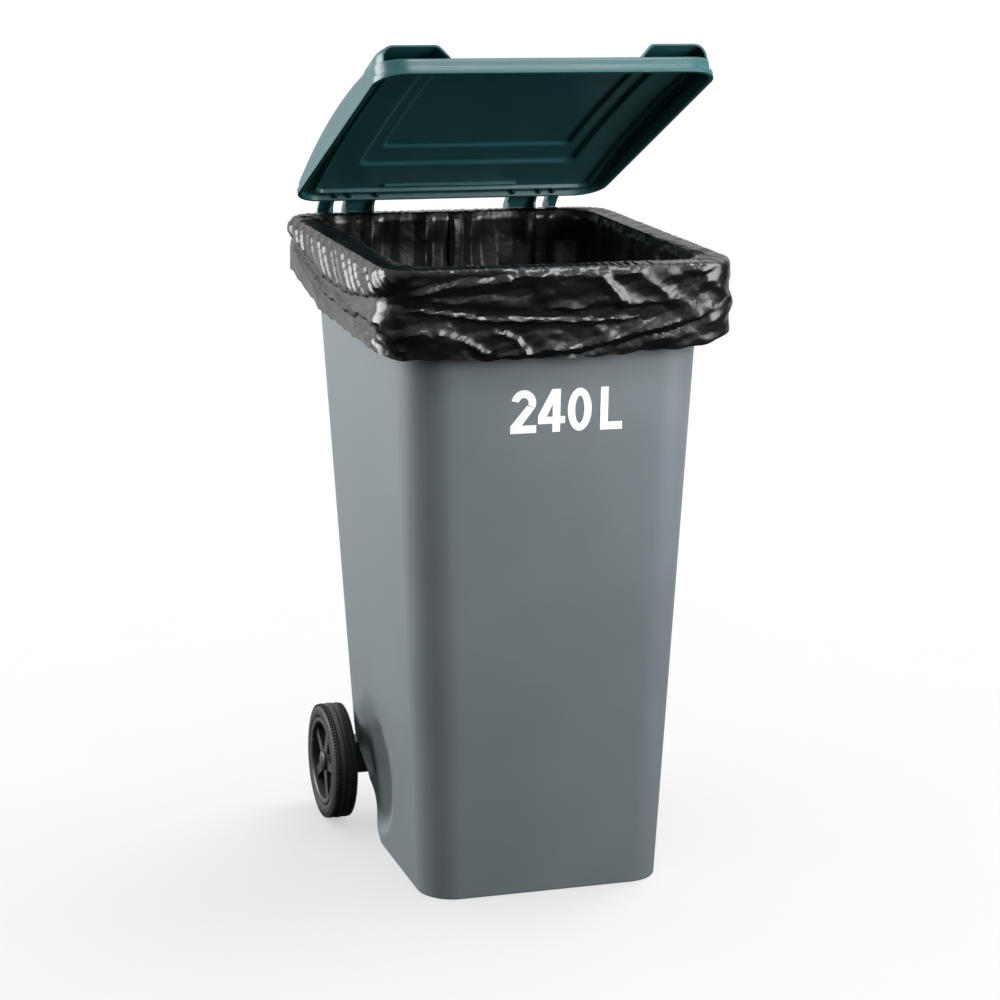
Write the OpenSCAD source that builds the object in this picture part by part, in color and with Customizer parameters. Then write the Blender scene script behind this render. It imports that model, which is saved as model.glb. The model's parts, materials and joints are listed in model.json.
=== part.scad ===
// Two-wheeled waste container with a hinged lid and a bag folded over its rim.
// +Z is up, the front is -Y, and the ground is z = 0. The origin lies on the left-right mid-plane.

/* [Body] */
// Height of the rim's top face
body_h = 1030; // [840:5:1240]
// Width of the walls at the ground
base_w = 408; // [340:2:430]
// Width of the walls just under the rim
wall_w = 506; // [420:2:610]
// Distance from the origin forward to the front wall at the ground
base_front = 230; // [200:2:260]
// Distance from the origin back to the rear edge of the flat base
base_rear = 100; // [80:2:115]
// Distance from the origin forward to the front wall under the rim
wall_front = 226; // [200:2:230]
// Distance from the origin back to the rear wall under the rim
wall_rear = 384; // [320:2:462]
// Corner radius of the walls at the ground
base_r = 58; // [45:1:70]
// Corner radius of the walls under the rim
wall_r = 76; // [60:1:90]
// Thickness of the walls
wall_t = 4; // [3:0.1:6]
// Thickness of the floor
floor_t = 5; // [4:0.5:8]
// Height at which the raised rear underside has become the rear wall
heel_h = 150; // [145:1:170]
// Distance from the origin back to the rear wall at that height
heel_rear = 248; // [240:1:256]

/* [Rim] */
// How far the rim stands out beyond each side wall
rim_side = 34; // [26:1:42]
// How far it stands out in front of the front wall
rim_fore = 20; // [14:1:30]
// How far it stands out behind the rear wall
rim_back = 10; // [8:1:20]
// Corner radius of the rim
rim_r = 58; // [50:1:70]
// Thickness of the rim's plate and skirt
rim_t = 4; // [3:0.5:5]
// Height of the rim's skirt
rim_skirt_h = 55; // [40:1:60]
// Number of ribs under each side of the rim
comb_ribs = 6; // [2:1:9]

/* [Handle and hinge] */
// Distance from the rim's rear edge back to the hinge axis, which is the handle's axis too
hinge_back = 36; // [34:1:52]
// Depth of the hinge axis below the rim's top face
hinge_drop = 30; // [26:1:34]
// Radius of the handle bar
bar_r = 12.5; // [11:0.5:14]
// Radius of the hinge knuckles
knuckle_r = 15; // [13:0.5:16]
// Radius of the hinge pins
pin_r = 6; // [5:0.1:7.4]
// Radius of a hinge pin's head
pin_head_r = 10; // [8.5:0.5:12]
// Thickness of a hinge pin's head
pin_head_t = 4; // [3:0.5:6]
// Length of pin held in each end of the handle bar
pin_grip = 50; // [30:1:80]
// Half of the handle bar's length, to the outer faces of the inner brackets
bar_half = 120; // [100:1:140]
// Thickness of a bracket
bracket_t = 16; // [12:1:20]
// Width of an inner lid arm
arm_w = 54; // [40:1:65]
// Width of an outer lid arm
leg_w = 24; // [18:1:28]
// Side play between a knuckle and its bracket
hinge_play = 2; // [1:0.5:4]

/* [Lid] */
// How far the lid's sides lie inside the rim's
lid_inset = 14; // [4:1:20]
// How far the lid's front edge lies behind the rim's
lid_short = 18; // [4:1:26]
// Distance from the hinge axis forward to the lid's rear edge
lid_setback = 46; // [44:1:52]
// Corner radius of the lid
lid_r = 46; // [35:1:60]
// Thickness of the lid's plate and skirt
lid_t = 3.5; // [2.5:0.25:5]
// Height of the lid's skirt at its front and rear
lid_skirt_h = 26; // [22:1:32]
// How far the domed lid rises between its front and its rear
dome_rise = 28; // [16:1:40]
// Height of the stepped lip at the skirt's foot
lip_h = 11; // [8:1:14]
// How far the lip stands out beyond the skirt
lip_out = 4; // [2:0.5:6]
// Gap between the closed lid and the rim, which the bag's film lies in
lid_gap = 4; // [3.5:0.5:6]
// Rise of the raised middle panel
panel_rise = 5; // [4:1:8]
// Width of the margin around the raised panel
panel_margin = 62; // [50:1:80]
// Width of a grip scoop
scoop_w = 118; // [90:2:140]
// Length of a grip scoop along the lid
scoop_l = 72; // [50:2:90]
// Rise of a grip scoop above the lid's front edge
scoop_rise = 29; // [20:1:34]
// Angle at which the lid stands open at rest
rest_open = 26; // [0:0.5:60]

/* [Running gear] */
// Radius of the wheels
wheel_r = 100; // [83:1:120]
// Width of a tyre
tyre_w = 43; // [36:1:50]
// Distance from the mid-plane to a tyre's outer face
wheel_face = 270; // [266:1:280]
// Distance from the foot of the rear wall forward to the axle
axle_fore = 42; // [36:1:48]
// Radius of the axle
axle_r = 10; // [8:0.5:12]
// Depth of the tyre's section, from tread to rim
tyre_section = 24; // [18:1:30]
// Thickness of the wheel's rim
hub_rim_t = 9; // [6:0.5:10]
// Number of spokes
spokes = 5; // [3:1:8]
// Width of a spoke
spoke_w = 17; // [12:1:22]
// Radial wall of the hub bush
bush_t = 4; // [2.5:0.5:5]
// Width of the ledge that the hub cap's seat leaves round the bush
cap_ledge = 3; // [2:0.5:4]
// Wall of the barrel round the hub cap
barrel_t = 3; // [2:0.5:5]
// Thickness of the wheel clip
clip_t = 2.4; // [1.6:0.2:3]
// Height of the axle notch above the axle
notch_up = 38; // [34:1:40]
// Distance from the axle forward to the notch's front face
notch_fore = 26; // [22:1:28]
// Height of the axle block below the axle
block_down = 18; // [15:1:20]
// Length of the axle block along the axle
block_l = 33; // [24:1:40]
// Radius of the recess that clears the wheel in each side wall
recess_r = 106; // [80:1:112]
// Depth of that recess at its rear
recess_d = 12; // [4:1:14]
// Distance from the axle forward to the recess's centre
recess_fore = 144; // [130:1:160]
// Height of the recess's centre above the axle
recess_up = 25; // [10:1:35]

/* [Bag] */
// Thickness allowed for the folded film
bag_t = 1.2; // [0.8:0.1:2.4]
// Depth of the cuff that hangs outside the rim
cuff_h = 138; // [80:2:200]
// Height of the hanging bag's bottom
bag_floor = 165; // [160:5:400]

/* [Fits] */
// Radial clearance of a running fit
run_gap = 0.05; // [0.02:0.01:0.1]
// Clearance between seated faces
seat_gap = 0.3; // [0.2:0.05:0.4]

/* [Hidden] */
$fn = 72;
hull_fn = 32;
eps = 0.01;
big = 2000;

body_color = "slategray";
lid_color = "darkslategray";
black = "#202224";
steel = "silver";

rim_w = wall_w + 2 * rim_side;
rim_front = wall_front + rim_fore;
rim_rear = wall_rear + rim_back;
hinge_y = rim_rear + hinge_back;
rim_foot = body_h - rim_skirt_h;            // lower edge of the rim's skirt
wall_top = rim_foot - 5;                    // height that wall_w, wall_front and wall_rear belong to
hinge_z = body_h - hinge_drop;
lid_foot = body_h + lid_gap;                // lower edge of the closed lid's lip
lid_rear = hinge_y - lid_setback;
lid_front = lid_short - rim_front;
lid_w = rim_w - 2 * lid_inset;
edge_z = lid_foot + lid_skirt_h;            // upper edge of the closed lid at its front and rear
dome_half = (lid_rear - lid_front - lip_out) / 2;
dome_r = (dome_half * dome_half + dome_rise * dome_rise) / (2 * dome_rise);
dome_y = lid_rear - dome_half;
dome_z = edge_z + dome_rise - dome_r;
comb_rib_t = 3;
comb_rib_up = 6;                            // how far the comb ribs stay above the skirt's foot

// Places along the hinge axis, measured from the mid-plane
arm_in = bar_half + hinge_play;
arm_out = arm_in + arm_w;
lug_in = arm_out + hinge_play;
lug_out = lug_in + bracket_t;
leg_in = lug_out + hinge_play;
leg_out = leg_in + leg_w;
bracket_drop = 20;                          // how far a bracket reaches below the hinge axis
bracket_lift = 16;                          // and above it, where it meets the rim

// Places along the axle, measured from the mid-plane
wheel_back = wheel_face - tyre_w;
hub_proud = 2;                              // how far the barrel stands out behind the tyre
hub_set_in = 4;                             // how far its outer face lies inside the tyre's
bush_l = 23;
hub_back = wheel_back - hub_proud;
hub_front = wheel_face - hub_set_in;
bush_end = hub_back + bush_l;
bush_r = axle_r + run_gap + bush_t;
cap_r = bush_r + cap_ledge;
barrel_r = cap_r + barrel_t;
hub_rim_r = wheel_r - tyre_section;
axle_y = heel_rear - axle_fore;
clip_play = 1.5;                            // room round the clip inside the barrel
clip_r = cap_r - clip_play;
axle_tail = 10;                             // length of axle beyond the bush, for the clip
axle_end = bush_end + axle_tail;
cap_t = 4;
spacer_l = 10;
spacer_t = 4;
spacer_r = axle_r + run_gap + spacer_t;
spacer_in = hub_back - seat_gap - spacer_l;
block_out = spacer_in - seat_gap;
block_in = block_out - block_l;
axle_z = wheel_r;

// Outline with round corners, from y0 to y1 and w wide
module outline(w, y0, y1, r) {
    translate([-w / 2 + r, y0]) square([w - 2 * r, y1 - y0]);
    translate([-w / 2, y0 + r]) square([w, y1 - y0 - 2 * r]);
    for (x = [-1, 1], y = [y0 + r, y1 - r]) translate([x * (w / 2 - r), y]) circle(r);
}

module slab(w, y0, y1, r, z, h = eps) {
    translate([0, 0, z]) linear_extrude(h) outline(w, y0, y1, r);
}

// The body's form, moved inwards by t, from z0 up to z1
function along(z, low, high) = low + (high - low) * z / wall_top;
module form(t, z0, z1) {
    chamfer_h = heel_h * 0.75;
    chamfer_rear = base_rear + (heel_rear - base_rear) * 0.77;
    hull($fn = hull_fn) {
        for (s = [[z0, base_rear], [max(chamfer_h, z0 + 1), chamfer_rear], [heel_h, heel_rear],
                  [wall_top, wall_rear], [z1, wall_rear]])
            slab(along(min(s[0], wall_top), base_w, wall_w) - 2 * t,
                 -along(min(s[0], wall_top), base_front, wall_front) + t, s[1] - t,
                 along(min(s[0], wall_top), base_r, wall_r) - t, s[0] - (s[0] == z1 ? eps : 0));
    }
}

// Room for the axle under the rear of the body; the inside wall follows it at distance t
module axle_notch(t) {
    translate([-big / 2, axle_y - notch_fore - t, -big / 2 + axle_z + notch_up + t])
        mirror([0, 0, 1]) translate([0, 0, -big / 2]) cube([big, big, big]);
}

// Shallow recess in each side wall that deepens towards the wheel
module wheel_recess(t) {
    centre = [axle_y - recess_fore, axle_z + recess_up];
    side_x = along(centre[1], base_w, wall_w) / 2;
    tilt = atan(recess_d / (2 * recess_r));
    for (s = [-1, 1])
        intersection() {
            translate([0, centre[0], centre[1]]) rotate([0, 90, 0])
                cylinder(r = recess_r + t, h = big, center = true);
            translate([s * (side_x - t), centre[0] - recess_r, 0]) rotate([0, 0, s * tilt])
                translate([s > 0 ? 0 : -big, -big / 2, 0]) cube([big, big, big]);
        }
}

module rim() {
    difference() {
        slab(rim_w, -rim_front, rim_rear, rim_r, rim_foot, rim_skirt_h);
        slab(rim_w - 2 * rim_t, -rim_front + rim_t, rim_rear - rim_t, rim_r - rim_t, rim_foot - 1,
             rim_skirt_h - rim_t + 1);
    }
    // Comb ribs between the wall and the skirt
    reach = rim_w / 2 - rim_t / 2;
    rib_h = rim_skirt_h - comb_rib_up - rim_t / 2;
    pitch = (rim_rear + rim_front - 2 * rim_r) / (comb_ribs + 1);
    for (i = [1 : comb_ribs])
        translate([-reach, -rim_front + rim_r + i * pitch - comb_rib_t / 2, rim_foot + comb_rib_up])
            cube([2 * reach, comb_rib_t, rib_h]);
    front_pitch = (rim_w - 2 * rim_r) / (comb_ribs + 1);
    for (i = [1 : comb_ribs])
        translate([-rim_w / 2 + rim_r + i * front_pitch - comb_rib_t / 2, -rim_front + rim_t / 2,
                   rim_foot + comb_rib_up])
            cube([comb_rib_t, rim_front, rib_h]);
}

// A bracket that carries the handle bar or a hinge pin, from x0 to x1
module bracket(x0, x1) {
    translate([x0, 0, 0]) rotate([90, 0, 90]) linear_extrude(x1 - x0) {
        polygon([[rim_rear - rim_t / 2, hinge_z + bracket_lift], [hinge_y, hinge_z + bar_r],
                 [hinge_y + bar_r, hinge_z], [hinge_y, hinge_z - bar_r],
                 [rim_rear - rim_t / 2, hinge_z - bracket_drop]]);
        translate([hinge_y, hinge_z]) circle(bar_r);
    }
}

module along_x(x0, x1, y, z, r) {
    translate([x0, y, z]) rotate([0, 90, 0]) cylinder(r = r, h = x1 - x0);
}

module tub() {
    color(body_color) difference() {
        union() {
            form(0, 0, body_h);
            rim();
            for (s = [0, 1]) mirror([s, 0, 0]) {
                bracket(bar_half - bracket_t, bar_half);
                bracket(lug_in, lug_out);
            }
            along_x(-bar_half, bar_half, hinge_y, hinge_z, bar_r);
        }
        difference() {
            form(wall_t, floor_t, body_h + 1);
            axle_notch(wall_t);
            wheel_recess(wall_t);
        }
        axle_notch(0);
        wheel_recess(0);
        for (s = [0, 1]) mirror([s, 0, 0]) {
            along_x(bar_half - pin_grip - 2, bar_half + 1, hinge_y, hinge_z, pin_r + run_gap);
            along_x(lug_in - 1, lug_out + 1, hinge_y, hinge_z, pin_r + run_gap);
        }
    }
}

module hinge_pin() {
    head = leg_out + seat_gap;
    color(black) {
        along_x(bar_half - pin_grip, head + eps, hinge_y, hinge_z, pin_r);
        along_x(head, head + pin_head_t, hinge_y, hinge_z, pin_head_r);
    }
}

// One arm of the lid from its rear skirt to the hinge axis, in the closed position
module lid_arm(x0, x1) {
    root_z = lid_foot + 2;
    root_l = 17;                            // reach of the arm's underside behind the lid
    shoulder = 38;                          // rise of the arm's back above the hinge axis
    translate([x0, 0, 0]) rotate([90, 0, 90]) linear_extrude(x1 - x0) {
        polygon([[lid_rear - lid_t, root_z], [lid_rear + root_l, root_z], [hinge_y - knuckle_r, hinge_z],
                 [hinge_y, hinge_z - 2], [hinge_y + knuckle_r, hinge_z], [hinge_y, hinge_z + shoulder],
                 [hinge_y - 20, edge_z - 8], [lid_rear - lid_t, edge_z - 3]]);
        translate([hinge_y, hinge_z]) circle(knuckle_r);
    }
}

// Everything under the lid's domed upper face, raised by rise
module dome(rise) {
    along_x(-lid_w, lid_w, dome_y, dome_z, dome_r + rise);
}

// The lid's form, its skirt moved inwards by inset and its domed face raised by rise
module lid_form(inset, rise, r) {
    intersection() {
        slab(lid_w - 2 * lip_out - 2 * inset, lid_front + lip_out + inset, lid_rear - inset, r,
             lid_foot - (rise < 0 ? 1 : 0), lid_skirt_h + 2 * dome_rise);
        dome(rise);
    }
}

// A raised hollow grip at a front corner, open to the front
module scoop_form(t) {
    r = scoop_rise * 0.72 - t;
    w = scoop_w - 2 * t;
    h = scoop_rise - t;
    translate([lip_out - lid_w / 2 + t, lid_front + lip_out + scoop_l - t, edge_z])
        rotate([90, 0, 0]) linear_extrude(scoop_l - t + (t > 0 ? 1 : 0)) {
            translate([0, -1]) square([w, h - r + 1]);
            translate([r, -1]) square([w - 2 * r, h + 1]);
            for (x = [r, w - r]) translate([x, h - r]) circle(r);
        }
}

module lid_closed() {
    skirt_r = lid_r - lip_out;
    rib_t = 3;
    rib_h = 9;
    ring_in = 25;                           // distance from the lid's skirt in to the stiffening ring
    difference() {
        union() {
            slab(lid_w, lid_front, lid_rear + lip_out, lid_r, lid_foot, lip_h);
            lid_form(0, 0, skirt_r);
            lid_form(panel_margin, panel_rise, skirt_r);
            for (s = [0, 1]) mirror([s, 0, 0]) scoop_form(0);
        }
        difference() {
            union() {
                lid_form(lid_t, -lid_t, skirt_r - lid_t);
                difference() {
                    lid_form(panel_margin + lid_t, panel_rise - lid_t, skirt_r - lid_t);
                    translate([-lid_w, lid_front, 0]) cube([2 * lid_w, big, lid_foot + 1]);
                }
            }
            // Stiffening ring, and two stiffening ribs across the panel near the hinge
            difference() {
                union() {
                    difference() {
                        lid_form(ring_in, 0, skirt_r - ring_in / 2);
                        lid_form(ring_in + rib_t, 1, skirt_r - ring_in / 2 - rib_t);
                    }
                    for (back = [22, 48])
                        translate([-lid_w / 2 + panel_margin, lid_rear - panel_margin - back, lid_foot])
                            cube([lid_w - 2 * panel_margin, rib_t, 2 * dome_rise + lid_skirt_h]);
                }
                dome(-lid_t - rib_h);
            }
        }
        difference() {
            for (s = [0, 1]) mirror([s, 0, 0]) scoop_form(lid_t);
            dome(0);
        }
    }
}

module lid() {
    color(lid_color)
    translate([0, hinge_y, hinge_z]) rotate([-rest_open, 0, 0]) translate([0, -hinge_y, -hinge_z])
        difference() {
            union() {
                lid_closed();
                for (s = [0, 1]) mirror([s, 0, 0]) {
                    lid_arm(arm_in, arm_out);
                    lid_arm(leg_in, leg_out);
                }
            }
            for (s = [0, 1]) mirror([s, 0, 0])
                along_x(arm_in - 1, leg_out + 1, hinge_y, hinge_z, pin_r + run_gap);
        }
}

module liner() {
    film_in = rim_w + 2 * seat_gap;
    top = body_h + seat_gap;
    hang = 22;                              // how far the empty bag hangs clear of the walls at its bottom
    lining = wall_t + 2 * seat_gap;
    notch_half = leg_out + 8;               // half of the width over which the rear cuff is cut short
    color(black) difference() {
        union() {
            difference() {
                slab(film_in + 2 * bag_t, -rim_front - seat_gap - bag_t, rim_rear + seat_gap + bag_t,
                     rim_r + bag_t, body_h - cuff_h, cuff_h + seat_gap + bag_t);
                difference() {
                    slab(film_in, -rim_front - seat_gap, rim_rear + seat_gap, rim_r, body_h - cuff_h - 1,
                         cuff_h + 1 + seat_gap);
                    bag_form(lining, hang, bag_floor, top + 1);
                }
            }
            bag_form(lining, hang, bag_floor, top + 1);
        }
        bag_form(lining + bag_t, hang, bag_floor + bag_t, top + bag_t + 1);
        // The cuff stays above the brackets behind the rim
        translate([-notch_half, rim_rear - rim_r, -big + hinge_z + bracket_lift + 2])
            difference() {
                cube([2 * notch_half, big, big]);
                translate([-1, -1, -1]) cube([2 * notch_half + 2, rim_r + seat_gap + 1, big + 2]);
            }
    }
}

// The bag's inside form: it follows the walls at the top and hangs free lower down
module bag_form(t, hang, z0, z1) {
    low = t + hang;
    hull($fn = hull_fn) {
        slab(along(z0, base_w, wall_w) - 2 * low, -along(z0, base_front, wall_front) + low, heel_rear - low,
             along(z0, base_r, wall_r) - low, z0);
        slab(wall_w - 2 * t, -wall_front + t, wall_rear - t, wall_r - t, wall_top);
        slab(wall_w - 2 * t, -wall_front + t, wall_rear - t, wall_r - t, z1 - eps);
    }
}

module axle() {
    color(steel) along_x(-axle_end, axle_end, axle_y, axle_z, axle_r);
}

module axle_block() {
    color(black) difference() {
        translate([block_in, axle_y - notch_fore + seat_gap, axle_z - block_down])
            cube([block_l, notch_fore + block_down, block_down + notch_up - seat_gap]);
        along_x(block_in - 1, block_out + 1, axle_y, axle_z, axle_r + run_gap);
    }
}

// A sleeve around the axle
module sleeve(x0, x1, r_in, r_out) {
    difference() {
        along_x(x0, x1, axle_y, axle_z, r_out);
        along_x(x0 - 1, x1 + 1, axle_y, axle_z, r_in);
    }
}

module axle_spacer() {
    color(black) sleeve(spacer_in, spacer_in + spacer_l, axle_r + run_gap, spacer_r);
}

module hub_bush() {
    color("white") sleeve(hub_back + seat_gap, bush_end, axle_r + run_gap, bush_r);
}

module wheel_clip() {
    color(steel) sleeve(bush_end + seat_gap, bush_end + seat_gap + clip_t, axle_r + run_gap, clip_r);
}

module hub_cap() {
    color(black) along_x(hub_front - cap_t, hub_front, axle_y, axle_z, cap_r);
}

module hub() {
    rim_set_in = 3;
    spoke_l = 14;                           // a spoke's length along the axle
    spoke_mid = (hub_front + hub_back) / 2;
    color(black) {
        sleeve(wheel_back + rim_set_in, wheel_face - rim_set_in, hub_rim_r - hub_rim_t, hub_rim_r);
        difference() {
            union() {
                along_x(hub_back, hub_front, axle_y, axle_z, barrel_r);
                for (i = [0 : spokes - 1])
                    translate([0, axle_y, axle_z]) rotate([i * 360 / spokes + 90, 0, 0])
                        translate([spoke_mid - spoke_l / 2, 0, -spoke_w / 2])
                            cube([spoke_l, hub_rim_r - hub_rim_t / 2, spoke_w]);
            }
            along_x(hub_back - 1, bush_end + eps, axle_y, axle_z, bush_r + run_gap);
            along_x(bush_end, hub_front + 1, axle_y, axle_z, cap_r + run_gap);
        }
    }
}

// A solid tyre with rounded shoulders and two grooves round the tread
module tyre() {
    inner = hub_rim_r + run_gap;
    shoulder = 6;
    groove_w = 3;
    groove_d = 2.5;
    color(black) translate([wheel_back, axle_y, axle_z]) rotate([0, 90, 0]) rotate([0, 0, 90])
        rotate_extrude($fn = 96) difference() {
            union() {
                translate([inner, 0]) square([wheel_r - shoulder - inner, tyre_w]);
                translate([inner, shoulder]) square([wheel_r - inner, tyre_w - 2 * shoulder]);
                for (x = [shoulder, tyre_w - shoulder]) translate([wheel_r - shoulder, x]) circle(shoulder);
            }
            for (x = [tyre_w / 3, tyre_w * 2 / 3])
                translate([wheel_r - groove_d, x - groove_w / 2]) square([groove_d + 1, groove_w]);
        }
}

module left() { mirror([1, 0, 0]) children(); }

tub();
lid();
liner();
axle();
left() hinge_pin();  // hinge_pin_left
hinge_pin();  // hinge_pin_right
left() axle_block();  // axle_block_left
axle_block();  // axle_block_right
left() axle_spacer();  // axle_spacer_left
axle_spacer();  // axle_spacer_right
left() hub();  // hub_left
hub();  // hub_right
left() hub_bush();  // hub_bush_left
hub_bush();  // hub_bush_right
left() tyre();  // tyre_left
tyre();  // tyre_right
left() wheel_clip();  // wheel_clip_left
wheel_clip();  // wheel_clip_right
left() hub_cap();  // hub_cap_left
hub_cap();  // hub_cap_right
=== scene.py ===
import json
import math

import bmesh
import bpy
import numpy as np
from mathutils import Matrix, Quaternion, Vector

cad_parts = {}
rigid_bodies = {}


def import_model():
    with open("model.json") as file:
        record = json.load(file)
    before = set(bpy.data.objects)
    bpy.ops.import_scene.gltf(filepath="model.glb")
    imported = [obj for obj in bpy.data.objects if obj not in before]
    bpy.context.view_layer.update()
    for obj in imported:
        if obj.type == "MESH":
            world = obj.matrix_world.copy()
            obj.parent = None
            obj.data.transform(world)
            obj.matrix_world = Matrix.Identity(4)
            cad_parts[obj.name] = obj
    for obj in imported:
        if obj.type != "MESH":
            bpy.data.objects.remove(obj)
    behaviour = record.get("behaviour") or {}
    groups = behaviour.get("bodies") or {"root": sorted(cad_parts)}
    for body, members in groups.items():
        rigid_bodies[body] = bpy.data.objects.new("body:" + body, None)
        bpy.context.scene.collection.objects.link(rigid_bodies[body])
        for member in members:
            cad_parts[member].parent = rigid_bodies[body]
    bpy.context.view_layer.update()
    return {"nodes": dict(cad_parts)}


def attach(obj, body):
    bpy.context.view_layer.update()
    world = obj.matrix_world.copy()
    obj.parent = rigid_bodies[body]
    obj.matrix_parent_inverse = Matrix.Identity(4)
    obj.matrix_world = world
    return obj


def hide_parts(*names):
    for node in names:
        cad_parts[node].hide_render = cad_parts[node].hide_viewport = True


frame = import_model()


# Camera: a little left of the bin's front and well back, with a long lens, looking slightly down.
# It is rolled by a little over a degree.
camera_azimuth = math.radians(-18.28)
camera_elevation = math.radians(13.84)
camera_roll = math.radians(1.2)
camera_distance = 4.578
camera_aim = Vector((-0.0192, 0.0, 0.6032))
camera_back = Vector((math.sin(camera_azimuth) * math.cos(camera_elevation),
                      -math.cos(camera_azimuth) * math.cos(camera_elevation),
                      math.sin(camera_elevation)))
camera = bpy.data.objects.new("camera", bpy.data.cameras.new("camera"))
camera.data.sensor_width = 36
camera.data.lens = 99.5
camera.data.clip_end = 300
camera.location = camera_aim + camera_back * camera_distance
camera.rotation_mode = "QUATERNION"
camera.rotation_quaternion = (-camera_back).to_track_quat("-Z", "Y") @ Quaternion((0, 0, 1), camera_roll)
bpy.context.scene.collection.objects.link(camera)
bpy.context.scene.camera = camera


# Body: one polyethylene moulding with tapered walls, a stepped heel for the axle, a rim with a
# turned-down skirt, and a shallow round recess in each side wall. Slate grey, with a fine grain.
wall_t = 0.004
floor_t = 0.005
wall_top = 0.970
base_half, top_half = 0.204, 0.253
base_front, top_front = 0.230, 0.226
base_r, top_r = 0.058, 0.076
heel_z = (0.0, 0.1125, 0.150, wall_top)
heel_y = (0.100, 0.214, 0.248, 0.384)
notch_front, notch_low, notch_roof = 0.180, 0.079, 0.138
rim_half, rim_front, rim_rear, rim_r = 0.287, 0.246, 0.394, 0.058
rim_top, rim_foot = 1.030, 0.975
recess_y, recess_z, recess_r, recess_depth = 0.062, 0.125, 0.110, 0.014


def walls(z, inset=0.0, rear=None, rear_r=None):
    """Half width, front, rear and the two corner radii of the walls at a height."""
    share = min(z, wall_top) / wall_top
    corner = base_r + (top_r - base_r) * share - inset
    back = (np.interp(z, heel_z, heel_y) if rear is None else rear) - inset
    return (base_half + (top_half - base_half) * share - inset,
            -base_front + (base_front - top_front) * share + inset,
            back, corner, corner if rear_r is None else rear_r)


def rim(inset):
    """The same five sizes for the rim's outline."""
    return (rim_half - inset, inset - rim_front, rim_rear - inset, rim_r - inset, rim_r - inset)


def soften(stops, steps=5):
    """Turns stops, each a ring and the radius to round it by, into the rings of a profile."""
    rings = []
    for i, (ring, radius) in enumerate(stops):
        ring = np.array(ring, float)
        if radius == 0:
            rings.append(ring)
            continue
        before = np.array(stops[i - 1][0], float) - ring
        after = np.array(stops[i + 1][0], float) - ring
        start = ring + before * min(0.5, radius / ring_gap(before))
        end = ring + after * min(0.5, radius / ring_gap(after))
        for t in np.linspace(0, 1, steps):
            rings.append(start * (1 - t) ** 2 + ring * 2 * t * (1 - t) + end * t ** 2)
    return rings


def ring_gap(step):
    """How far apart two rings are."""
    return math.hypot(np.abs(step[:3]).max(), np.abs(step[5:]).sum())


def spread(rings, furthest):
    """Adds rings between those that lie further apart than furthest(ring) allows."""
    filled = [rings[0]]
    for ring in rings[1:]:
        last = filled[-1]
        count = max(1, math.ceil(ring_gap(ring - last) / furthest(last, ring)))
        for k in range(1, count + 1):
            filled.append(last + (ring - last) * k / count)
    return filled


def outline(half, front, rear, front_r, rear_r, across, along, corner):
    """Points round a rectangle with round corners, counter-clockwise seen from above."""
    points = []
    bends = ((half - front_r, front + front_r, front_r, -90), (half - rear_r, rear - rear_r, rear_r, 0),
             (rear_r - half, rear - rear_r, rear_r, 90), (front_r - half, front + front_r, front_r, 180))
    counts = (across, along, across, along)
    last = bends[3]
    for bend, count in zip(bends, counts):
        start = on_arc(last, [90])[0]
        end = on_arc(bend, [0])[0]
        share = np.arange(count)[:, None] / count
        points.extend(start + (end - start) * share)
        points.extend(on_arc(bend, np.arange(corner) * 90 / corner))
        last = bend
    return np.array(points)


def on_arc(bend, turns):
    """Points on a corner's arc, at angles from its start."""
    x, y, r, first = bend
    angles = np.radians(first + np.asarray(turns, float))
    return np.column_stack((x + r * np.cos(angles), y + r * np.sin(angles)))


def loft(rings, across, along, corner, height=lambda ring, xy: np.full(len(xy), ring[5])):
    """Vertices and faces of a closed form through rings, capped at its first and last ring."""
    layers = []
    for ring in rings:
        xy = outline(*ring[:5], across, along, corner)
        layers.append(np.column_stack((xy, height(ring, xy))))
    count = len(layers[0])
    here = np.arange(count)
    after = np.roll(here, -1)
    faces = []
    for k in range(len(layers) - 1):
        low, high = k * count, (k + 1) * count
        faces.extend(np.column_stack((low + here, low + after, high + after, high + here)).tolist())
    faces.append(here[::-1].tolist())
    faces.append(((len(layers) - 1) * count + here).tolist())
    return np.concatenate(layers), faces


def piece(name, verts, faces, material, sharp=35):
    """A smooth-shaded mesh object in the scene, with edges sharper than an angle kept sharp."""
    mesh = bpy.data.meshes.new(name)
    mesh.from_pydata([tuple(v) for v in verts], [], faces)
    mesh.validate()
    mesh.shade_smooth()
    mesh.set_sharp_from_angle(angle=math.radians(sharp))
    mesh.materials.append(material)
    made = bpy.data.objects.new(name, mesh)
    bpy.context.scene.collection.objects.link(made)
    return made


def join(*objects):
    """Makes several mesh objects one piece, which keeps the first one's name."""
    with bpy.context.temp_override(active_object=objects[0], selected_editable_objects=list(objects)):
        bpy.ops.object.join()
    return objects[0]


def smoothstep(low, high, value):
    """A smooth rise from 0 at low to 1 at high."""
    t = np.clip((value - low) / (high - low), 0, 1)
    return t * t * (3 - 2 * t)


def shader(name):
    """A new material, its node tree and its Principled BSDF."""
    material = bpy.data.materials.new(name)
    material.use_nodes = True
    tree = material.node_tree
    return material, tree, tree.nodes["Principled BSDF"]


def node(tree, kind, inputs=None, **settings):
    """A node with its settings, and its inputs set to values or linked to sockets."""
    made = tree.nodes.new(kind)
    for key, value in settings.items():
        setattr(made, key, value)
    for key, value in (inputs or {}).items():
        if isinstance(value, bpy.types.NodeSocket):
            tree.links.new(value, made.inputs[key])
        else:
            made.inputs[key].default_value = value
    return made


def maths(tree, operation, *values):
    return node(tree, "ShaderNodeMath", dict(enumerate(values)), operation=operation).outputs[0]


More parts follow.
